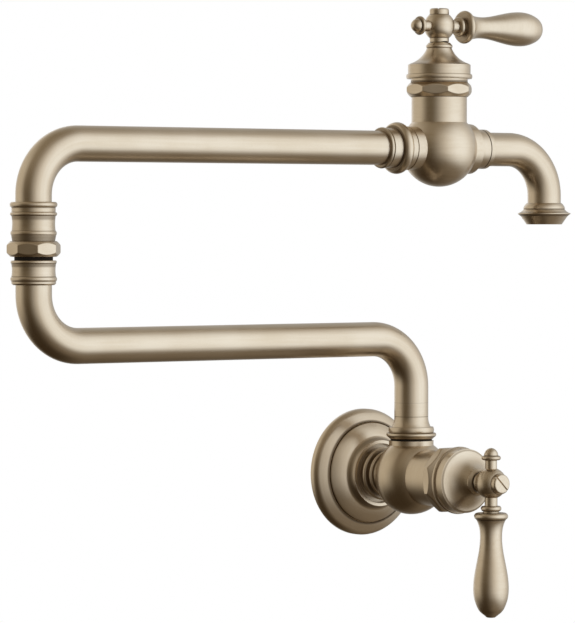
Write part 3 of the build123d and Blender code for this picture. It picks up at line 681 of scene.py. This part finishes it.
nutSizes = {
    "wallBonnetNut": {
        "node": "wall_bonnet_nut", "body": "wall_body", "paint": "wallBronze",
        "frame": wallFrame, "lift": 78.4,
        "flats": 35.1, "height": 8.4, "face": 16.0, "corner": 0.9, "edge": 0.45,
        "bore": ((13.45, 0), (13.45, 7.0), (8.0, 7.0), (8.0, 8.4)),
    },
    "spoutBonnetNut": {
        "node": "spout_bonnet_nut", "body": "upper_arm", "paint": "valveBronze",
        "frame": valveFrame, "lift": 28.9,
        "flats": 35.1, "height": 8.4, "face": 16.0, "corner": 0.9, "edge": 0.45,
        "bore": ((13.45, 0), (13.45, 7.0), (8.0, 7.0), (8.0, 8.4)),
    },
    "jointNut": {
        "node": "joint_nut", "body": "upper_arm", "paint": "elbowBronze",
        "frame": elbowFrame, "lift": 124.2,
        "flats": 26.4, "height": 8.2, "face": 12.1, "corner": 0.8, "edge": 0.4,
        "bore": ((8.025, 0), (8.025, 1.8), (10.6, 1.8), (10.6, 8.2)),
    },
}
flatSteps = 10
cornerSteps = 5


def nutOutline(size):
    # points round the nut: eight flats with rounded corners between them
    half = size["flats"] / 2 - size["corner"]
    cornerOut = half / math.cos(math.pi / 8)
    points = []
    for side in range(8):
        start = side * math.pi / 4 + math.pi / 8
        corner = Vector((cornerOut * math.cos(start), cornerOut * math.sin(start)))
        for step in range(cornerSteps + 1):
            angle = start - math.pi / 8 + step * math.pi / 4 / cornerSteps
            points.append(corner + size["corner"] * Vector((math.cos(angle), math.sin(angle))))
        after = start + math.pi / 4
        there = Vector((cornerOut * math.cos(after), cornerOut * math.sin(after)))
        normal = Vector((math.cos(after - math.pi / 8), math.sin(after - math.pi / 8)))
        for step in range(1, flatSteps):
            share = step / flatSteps
            points.append(corner.lerp(there, share) + size["corner"] * normal)
    return points


def roundedSteps(a, corner, b, reach, steps=4, mostShare=0.45):
    # replaces a corner by a short curve that takes up at most this share of either side
    a, corner, b = Vector(a), Vector(corner), Vector(b)
    before = corner + (a - corner).normalized() * min(reach, (a - corner).length * mostShare)
    behind = corner + (b - corner).normalized() * min(reach, (b - corner).length * mostShare)
    return [
        before.lerp(corner, i / steps).lerp(corner.lerp(behind, i / steps), i / steps)
        for i in range(steps + 1)
    ]


def ringMesh(name, shape, rings):
    # skins closed rings of points that follow each other in a circle
    for ring, after in zip(rings, rings[1:] + rings[:1]):
        for i in range(len(ring)):
            j = (i + 1) % len(ring)
            shape.faces.new((ring[i], after[i], after[j], ring[j]))
    bmesh.ops.recalc_face_normals(shape, faces=shape.faces)
    for face in shape.faces:
        face.smooth = True
    mesh = bpy.data.meshes.new(name)
    shape.to_mesh(mesh)
    shape.free()
    return mesh


def nutMesh(name, size):
    shape = bmesh.new()
    rings = []
    for point in nutOutline(size):
        reach = point.length
        way = point / reach
        drop = reach - size["face"]
        low, high = (size["face"], 0), (size["face"], size["height"])
        lowEdge, highEdge = (reach, drop), (reach, size["height"] - drop)
        bore = [Vector(p) for p in size["bore"]]
        steps = [bore[0]]
        steps += roundedSteps(bore[0], low, lowEdge, size["edge"])
        steps += roundedSteps(low, lowEdge, highEdge, size["edge"])
        steps += roundedSteps(lowEdge, highEdge, high, size["edge"])
        steps += roundedSteps(highEdge, high, bore[-1], size["edge"])
        steps += list(reversed(bore[1:]))
        rings.append([shape.verts.new((way.x * s.x, way.y * s.x, s.y)) for s in steps])
    return ringMesh(name, shape, rings)


for name, size in nutSizes.items():
    mesh = nutMesh(name, size)
    mesh.transform(Matrix.Scale(mm, 4) @ Matrix.Translation((0, 0, size["lift"])))
    work = workObject(name, mesh)
    weights = work.modifiers.new("weights", "WEIGHTED_NORMAL")
    weights.keep_sharp = True
    mesh = bakeModifiers(name, work)
    standOn(mesh, *size["frame"])
    paint = bronzePaints[size["paint"]]
    addPiece(name, mesh, size["body"], [size["node"]], paint)
    print("nut made:", name, len(mesh.polygons), "faces")


# the slotted screws on the lever hubs

screwSizes = {
    "seat": 6.6,
    "headRadius": 5.45,
    "headHeight": 3.4,
    "headRound": 1.2,
    "shankRadius": 2.4,
    "shankEnd": -5.0,
    "slotWidth": 0.9,
    "slotDepth": 1.1,
    "slotTurn": 45.0,
    "edge": 0.15,
    "slotEdge": 0.12,
    "slotEdgeTurn": 50,
    "slotEdgeSteps": 2,
    "roundSteps": 96,
    "arcSteps": 8,
}


def turnProfile(name, steps, count):
    # turns a profile of (radius, height) round Z; ends at radius 0 close in one point
    shape = bmesh.new()
    rings = []
    for radius, height in steps:
        if radius < 1e-7:
            rings.append([shape.verts.new((0, 0, height))])
        else:
            rings.append([
                shape.verts.new((
                    radius * math.cos(2 * math.pi * i / count),
                    radius * math.sin(2 * math.pi * i / count),
                    height,
                ))
                for i in range(count)
            ])
    for low, high in zip(rings, rings[1:]):
        for i in range(count):
            j = (i + 1) % count
            corners = [low[i % len(low)], low[j % len(low)]]
            corners += [high[j % len(high)], high[i % len(high)]]
            corners = list(dict.fromkeys(corners))
            if len(corners) > 2:
                shape.faces.new(corners)
    bmesh.ops.recalc_face_normals(shape, faces=shape.faces)
    mesh = bpy.data.meshes.new(name)
    shape.to_mesh(mesh)
    shape.free()
    return mesh


def screwMesh(name):
    size = screwSizes
    face = size["seat"] + size["headHeight"]
    inner = size["headRadius"] - size["headRound"]
    seatEdge = (size["headRadius"], size["seat"])
    steps = [(0, size["shankEnd"]), (size["shankRadius"], size["shankEnd"])]
    steps += [(size["shankRadius"], size["seat"])]
    rimPoint = (size["headRadius"], face - size["headRound"])
    steps += roundedSteps(steps[-1], seatEdge, rimPoint, size["edge"])
    for i in range(size["arcSteps"] + 1):
        angle = math.pi / 2 * i / size["arcSteps"]
        steps.append((
            inner + size["headRound"] * math.cos(angle),
            face + size["headRound"] * (math.sin(angle) - 1),
        ))
    steps += [(inner * share, face) for share in (0.66, 0.33, 0)]
    mesh = turnProfile(name, steps, size["roundSteps"])
    slot = bpy.data.meshes.new(name + "Slot")
    cutter = bmesh.new()
    bmesh.ops.create_cube(cutter, size=1.0)
    span = (3 * size["headRadius"], size["slotWidth"], 2 * size["slotDepth"])
    bmesh.ops.scale(cutter, vec=span, verts=cutter.verts)
    spin = Matrix.Rotation(math.radians(size["slotTurn"]), 3, "Z")
    bmesh.ops.rotate(cutter, matrix=spin, verts=cutter.verts)
    bmesh.ops.translate(cutter, vec=(0, 0, face), verts=cutter.verts)
    cutter.to_mesh(slot)
    cutter.free()
    cutterObject = workObject(name + "Slot", slot)
    work = workObject(name, mesh)
    cut = work.modifiers.new("slot", "BOOLEAN")
    cut.operation = "DIFFERENCE"
    cut.solver = "EXACT"
    cut.object = cutterObject
    soften = work.modifiers.new("soften", "BEVEL")
    soften.width = size["slotEdge"]
    soften.segments = size["slotEdgeSteps"]
    soften.limit_method = "ANGLE"
    soften.angle_limit = math.radians(size["slotEdgeTurn"])
    mesh = bakeModifiers(name, work)
    bpy.data.objects.remove(cutterObject)
    bpy.data.meshes.remove(slot)
    for face in mesh.polygons:
        face.use_smooth = True
    mesh.set_sharp_from_angle(angle=math.radians(sharpAngles["screw"]))
    mesh.transform(Matrix.Scale(mm, 4))
    return mesh


screws = {
    "wallLeverScrew": {
        "node": "wall_lever_screw", "body": "wall_lever", "paint": "wallBronze",
        "frame": (places["wallHub"], turns["outOfWall"]), "spin": (0, 0, -90),
    },
    "spoutLeverScrew": {
        "node": "spout_lever_screw", "body": "spout_lever", "paint": "valveBronze",
        "frame": (places["spoutHub"], turns["up"]), "spin": (0, 0, 0),
    },
}
for name, screw in screws.items():
    mesh = screwMesh(name)
    standOn(mesh, *screw["frame"], screw["spin"])
    paint = bronzePaints[screw["paint"]]
    addPiece(name, mesh, screw["body"], [screw["node"]], paint)
    print("screw made:", name, len(mesh.polygons), "faces")


# the moulded wall flange

flangeSizes = {
    "rim": (35.9, 2.6),  # places are (radius, height off the wall) in mm
    "rimEdge": 0.3,
    "bandTurn": (33.6, 5.8),  # the outer band turns over quickly, then runs on flatter
    "turnSwell": 0.34,
    "bandTop": (28.9, 8.5),
    "bandSwell": 0.08,
    "grooveFloor": (28.3, 7.8),
    "grooveTop": (28.1, 9.4),
    "grooveEdge": 0.35,
    "coneTop": (20.9, 14.1),  # the slanted inner band, a little crowned
    "coneSwell": 0.3,
    "sweepTop": (18.8, 17.9),  # where the hollow sweep meets the lip
    "sweepHollow": 0.35,
    "lipTop": 18.7,
    "lipEdge": 0.4,
    "lipBore": (16.8, 16.0),
    "nutBore": 11.55,
    "backs": (
        (11.55, 2.8), (14.4, 2.8), (14.4, 13.2), (19.8, 13.2), (27.2, 8.1), (30.0, 0.0),
        (32.0, 0.0), (32.0, 1.4), (34.6, 1.4), (34.6, 0.0),
    ),
    "roundSteps": 256,
    "arcSteps": 14,
}


def bowedSteps(start, end, bow, count):
    # points after start on an arc to end that stands out to the right of its way by bow
    a, b = Vector(start), Vector(end)
    chord = b - a
    out = Vector((chord.y, -chord.x)).normalized()
    radius = (chord.length_squared / 4 + bow * bow) / (2 * bow)
    centre = a + chord / 2 + out * (bow - radius)
    sweep = (b - centre).angle_signed(a - centre)
    return [
        tuple(centre + Matrix.Rotation(sweep * i / count, 2) @ (a - centre))
        for i in range(1, count + 1)
    ]


def flangeProfile():
    size = flangeSizes
    steps = list(size["backs"])
    rim = size["rim"]
    steps += roundedSteps(steps[-1], (rim[0], 0), rim, size["rimEdge"])
    steps += [rim]
    steps += bowedSteps(rim, size["bandTurn"], size["turnSwell"], size["arcSteps"])
    steps += bowedSteps(steps[-1], size["bandTop"], size["bandSwell"], size["arcSteps"])
    steps += [size["grooveFloor"]]
    steps += roundedSteps(steps[-1], size["grooveTop"], size["coneTop"], size["grooveEdge"])
    steps += bowedSteps(steps[-1], size["coneTop"], size["coneSwell"], size["arcSteps"])
    steps += bowedSteps(steps[-1], size["sweepTop"], -size["sweepHollow"], size["arcSteps"])
    sweep, bore = size["sweepTop"], size["lipBore"]
    outer, inner = (sweep[0], size["lipTop"]), (bore[0], size["lipTop"])
    steps += roundedSteps(sweep, outer, inner, size["lipEdge"])
    steps += roundedSteps(outer, inner, bore, size["lipEdge"] / 2)
    return steps + [bore, (size["nutBore"], bore[1])]


def closedLathe(name, steps, count, place=None):
    # turns a closed profile round Z; place may give each point another radius
    shape = bmesh.new()
    rings = []
    for i in range(count):
        angle = 2 * math.pi * i / count
        ring = []
        for radius, height in steps:
            if place is not None:
                radius = place(radius, height, angle)
            point = (radius * math.cos(angle), radius * math.sin(angle), height)
            ring.append(shape.verts.new(point))
        rings.append(ring)
    mesh = ringMesh(name, shape, rings)
    mesh.set_sharp_from_angle(angle=math.radians(sharpAngles["lathe"]))
    mesh.transform(Matrix.Scale(mm, 4))
    return mesh


mesh = closedLathe("wallFlange", flangeProfile(), flangeSizes["roundSteps"])
standOn(mesh, *wallFrame)
addPiece("wallFlange", mesh, "wall_body", ["wall_flange"],
         bronzePaints["wallBronze"])
print("flange made:", len(mesh.polygons), "faces")


# the inlet shank with its pipe thread

shankSizes = {
    "outer": 11.5,
    "back": 2.0,
    "front": 22.9,
    "spigot": (8.5, 26.9),
    "bore": 6.0,
    "crest": 9.3,  # the thread's minor radius
    "socketEnd": 17.0,
    "threadDepth": 1.1,
    "threadFlanks": (1.5, 2.5),  # the groove's width and the steepness of its sides
    "pitch": 1.814,
    "rowsPerPitch": 8,
    "fadeStart": 15.2,  # from here the groove runs out towards the socket's end
    "backEdge": 0.5,
    "roundSteps": 120,
}


def shankMesh(name):
    size = shankSizes
    outer, back, end, edge = size["outer"], size["back"], size["socketEnd"], size["backEdge"]
    width, steepness = size["threadFlanks"]
    rows = round((end - back) / size["pitch"] * size["rowsPerPitch"])
    steps = [(size["crest"], back + (end - back) * i / rows) for i in range(rows, -1, -1)]
    steps += [(outer - edge, back), (outer, back + edge)]
    steps += [(outer, size["front"]), (size["spigot"][0], size["front"])]
    steps += [size["spigot"], (size["bore"], size["spigot"][1]), (size["bore"], end)]

    def place(radius, height, angle):
        # the thread's groove runs down the socket as a helix
        if abs(radius - size["crest"]) > 1e-6 or height > end - 1e-6:
            return radius
        phase = (height / size["pitch"] - angle / (2 * math.pi)) % 1
        groove = min(max(width - steepness * abs(2 * phase - 1), 0), 1)
        fade = min(max((end - height) / (end - size["fadeStart"]), 0), 1)
        return radius + size["threadDepth"] * groove * fade

    return closedLathe(name, steps, size["roundSteps"], place)


mesh = shankMesh("inletShank")
standOn(mesh, *wallFrame)
addPiece("inletShank", mesh, "wall_body", ["inlet_shank"], brassPaints["wall"])
print("shank made:", len(mesh.polygons), "faces")


# camera, fitted to the photograph's frame of 575 x 623

cameraSizes = {
    "place": (-1.2695, -1.7027, 0.1430),
    "yaw": 35.57,
    "lens": 233.32,
    "sensor": 36.0,
    "horizonRow": 220.72,
    "imageWidth": 575,
    "imageHeight": 623,
    "clip": (0.05, 60),
}


def addCamera():
    size = cameraSizes
    data = bpy.data.cameras.new("photoCamera")
    data.sensor_fit = "HORIZONTAL"
    data.sensor_width = size["sensor"]
    data.lens = size["lens"]
    data.clip_start, data.clip_end = size["clip"]
    focal = size["lens"] / size["sensor"] * size["imageWidth"]
    pitch = math.atan((size["imageHeight"] / 2 - size["horizonRow"]) / focal)
    camera = bpy.data.objects.new("photoCamera", data)
    camera.location = size["place"]
    camera.rotation_euler = (math.pi / 2 - pitch, 0, -math.radians(size["yaw"]))
    bpy.context.scene.collection.objects.link(camera)
    bpy.context.scene.camera = camera


addCamera()


# the studio: white background, pale floor, soft lamps and a tent for mirror rays

studio = {
    "centre": (-0.08, -0.07, 0.1),
    "floorHeight": -1.2,
    "floorRadius": 3.4,
    "floorSteps": 96,
    "floorTone": (0.3, 0.3, 0.3, 1),
    "floorGlow": 0.74,
    "airColour": (0.97, 0.98, 1, 1),
    "airStrength": 0.75,
}


def wayFrom(azimuth, height):
    # the direction from the tap, in radians: azimuth 0 is straight out of the wall
    flat = math.cos(height)
    return Vector((math.sin(azimuth) * flat, -math.cos(azimuth) * flat, math.sin(height)))


def stageMesh(name, points, faces, paint, **shown):
    mesh = bpy.data.meshes.new(name)
    mesh.from_pydata(points, [], faces)
    mesh.materials.append(paint)
    for face in mesh.polygons:
        face.use_smooth = True
    thing = bpy.data.objects.new(name, mesh)
    bpy.context.scene.collection.objects.link(thing)
    for key, value in shown.items():
        setattr(thing, key, value)


def seenWays(tree):
    # 1 for camera, mirror and glass rays, which see the plain white background
    path = tree.add("ShaderNodeLightPath")
    ways = [tree.other(path, n) for n in ("Is Camera Ray", "Is Glossy Ray", "Is Transmission Ray")]
    return tree.maths("MAXIMUM", ways[0], tree.maths("MAXIMUM", ways[1], ways[2]))


def makeAir():
    world = bpy.data.worlds.new("studioAir")
    world.use_nodes = True
    world.node_tree.nodes.clear()
    tree = Tree(world.node_tree)
    air = {"Color": studio["airColour"], "Strength": studio["airStrength"]}
    soft = tree.add("ShaderNodeBackground", None, air)
    white = tree.add("ShaderNodeBackground", None, {"Color": (1, 1, 1, 1), "Strength": 1.0})
    mixed = tree.add("ShaderNodeMixShader", None, {0: seenWays(tree), 1: soft, 2: white})
    tree.add("ShaderNodeOutputWorld", None, {"Surface": mixed})
    bpy.context.scene.world = world


def makeFloor():
    # a round pale sheet; it glows white to the camera but keeps the tap's shadow
    material, tree = newPaint("floorSheet")
    diffuse = tree.add("ShaderNodeBsdfDiffuse", None, {"Color": studio["floorTone"]})
    light = {"Color": (1, 1, 1, 1), "Strength": studio["floorGlow"] * seenWays(tree)}
    glow = tree.add("ShaderNodeEmission", None, light)
    both = tree.add("ShaderNodeAddShader", None, {0: diffuse, 1: glow})
    tree.add("ShaderNodeOutputMaterial", None, {"Surface": both})
    steps = studio["floorSteps"]
    radius = studio["floorRadius"]
    points = [
        (radius * math.cos(2 * math.pi * i / steps), radius * math.sin(2 * math.pi * i / steps),
         studio["floorHeight"])
        for i in range(steps)
    ]
    stageMesh("floor", points, [tuple(range(steps))], material)


# what mirror rays see: azimuth 0 is straight out of the wall and + is to the right; each card
# is (azimuth, half width, softness), (low edge, softness), (high edge, softness) in degrees
tent = {
    "radius": 2.6,
    "gapStart": 152.0,  # behind the wall the tent is open and the white background shows
    "gapEnd": 176.0,
    "gapLow": -15.0,
    "gapHigh": 32.0,
    "wallTone": (0.112, 0.088, 0.054),
    "roofTone": (0.285, 0.24, 0.175),
    "roofRise": (-10, 50),
    "tableTone": (0.05, 0.034, 0.018),
    "tableDrop": (0, -40),
    "strength": 1.0,
    "floorGap": 0.01,
    "across": 72,
    "up": 36,
}
cards = {
    "counter": {"way": (50, 80, 50), "low": (-72, 18), "high": (-20, 20),
                "colour": (0.23, 0.19, 0.14)},
    "leftWall": {"way": (-152, 46, 20), "low": (-23, 20), "high": (50, 25),
                 "colour": (0.71, 0.665, 0.575)},
    "rightWall": {"way": (124, 42, 18), "low": (-24, 22), "high": (60, 30),
                  "colour": (0.5, 0.5, 0.49)},
    "backEdge": {"way": (165, 15, 8), "low": (-14, 12), "high": (34, 12),
                 "colour": (0.92, 0.92, 0.92)},
    "frontScrim": {"way": (30, 62, 34), "low": (-25, 20), "high": (52, 30),
                   "colour": (0.97, 0.97, 0.95)},
    "window": {"way": (35, 30, 25), "low": (-29, 18), "high": (48, 26),
               "colour": (1.26, 1.36, 1.47)},
}


def cardMask(tree, azimuth, height, card):
    centre, half, soft = card["way"]
    away = tree.maths("ABSOLUTE", (azimuth - (centre - 180)) % 360 - 180)
    side = tree.ease(away, half + soft, half - soft)
    low, lowSoft = card["low"]
    high, highSoft = card["high"]
    above = tree.ease(height, low - lowSoft, low + lowSoft)
    below = tree.ease(height, high + highSoft, high - highSoft)
    return side * above * below


def tentPaint():
    # the cards' tones by the direction from the tap
    material, tree = newPaint("tentCloth")
    place = tree.add("ShaderNodeTexCoord", out="Object")
    split = tree.add("ShaderNodeSeparateXYZ", None, {0: place})
    x = split - studio["centre"][0]
    y = tree.other(split, 1) - studio["centre"][1]
    z = tree.other(split, 2) - studio["centre"][2]
    degree = 180 / math.pi
    azimuth = tree.maths("ARCTAN2", x, 0 - y) * degree
    height = tree.maths("ARCTAN2", z, (x * x + y * y) ** 0.5) * degree
    roof, table = (tree.ease(height, *tent[name]) for name in ("roofRise", "tableDrop"))
    colour = tree.blend(roof, tent["wallTone"], tent["roofTone"])
    colour = tree.blend(table, colour, tent["tableTone"])
    for card in cards.values():
        colour = tree.blend(cardMask(tree, azimuth, height, card), colour, card["colour"])
    glow = tree.add("ShaderNodeEmission", None, {"Color": colour, "Strength": tent["strength"]})
    tree.add("ShaderNodeOutputMaterial", None, {"Surface": glow})
    return material


def makeTent():
    # a round shell that only mirror rays see; it stands on the floor and is open at the back
    centre = Vector(studio["centre"])
    drop = centre.z - studio["floorHeight"] - tent["floorGap"]
    across, up = tent["across"], tent["up"]
    points, faces = [], []
    for j in range(up + 1):
        height = math.radians(-90 + 180 * j / up)
        for i in range(across):
            way = wayFrom(math.radians(tent["gapEnd"] + 360 * i / across), height)
            reach = tent["radius"]
            if way.z < 0:
                reach = min(reach, drop / -way.z)
            points.append(centre + reach * way)
    gapSteps = (tent["gapEnd"] - tent["gapStart"]) * across / 360
    for j in range(up):
        height = -90 + 180 * (j + 0.5) / up
        inGap = tent["gapLow"] < height < tent["gapHigh"]
        for i in range(across):
            if inGap and i >= across - gapSteps:
                continue
            a, b = j * across + i, j * across + (i + 1) % across
            faces.append((a, b, b + across, a + across))
    stageMesh(
        "tent", points, faces, tentPaint(),
        visible_camera=False, visible_diffuse=False, visible_shadow=False,
    )


lamps = {
    "keyLamp": {"azimuth": 20, "height": 18, "distance": 2.1, "size": 1.1, "power": 9.0,
                "colour": (0.97, 0.985, 1.0)},
    "topLamp": {"azimuth": 60, "height": 62, "distance": 2.0, "size": 1.4, "power": 12.0,
                "colour": (0.98, 0.99, 1.0)},
}


def addLamps():
    centre = Vector(studio["centre"])
    for name, lamp in lamps.items():
        data = bpy.data.lights.new(name, "AREA")
        data.shape = "SQUARE"
        data.size = lamp["size"]
        data.energy = lamp["power"]
        data.color = lamp["colour"]
        way = wayFrom(math.radians(lamp["azimuth"]), math.radians(lamp["height"]))
        thing = bpy.data.objects.new(name, data)
        thing.location = centre + way * lamp["distance"]
        thing.rotation_euler = way.to_track_quat("Z", "Y").to_euler()
        thing.visible_glossy = False  # the tent's soft cards are what the metal mirrors
        bpy.context.scene.collection.objects.link(thing)


makeAir()
makeFloor()
makeTent()
addLamps()
bpy.context.scene.view_settings.view_transform = "Standard"
print("studio set")
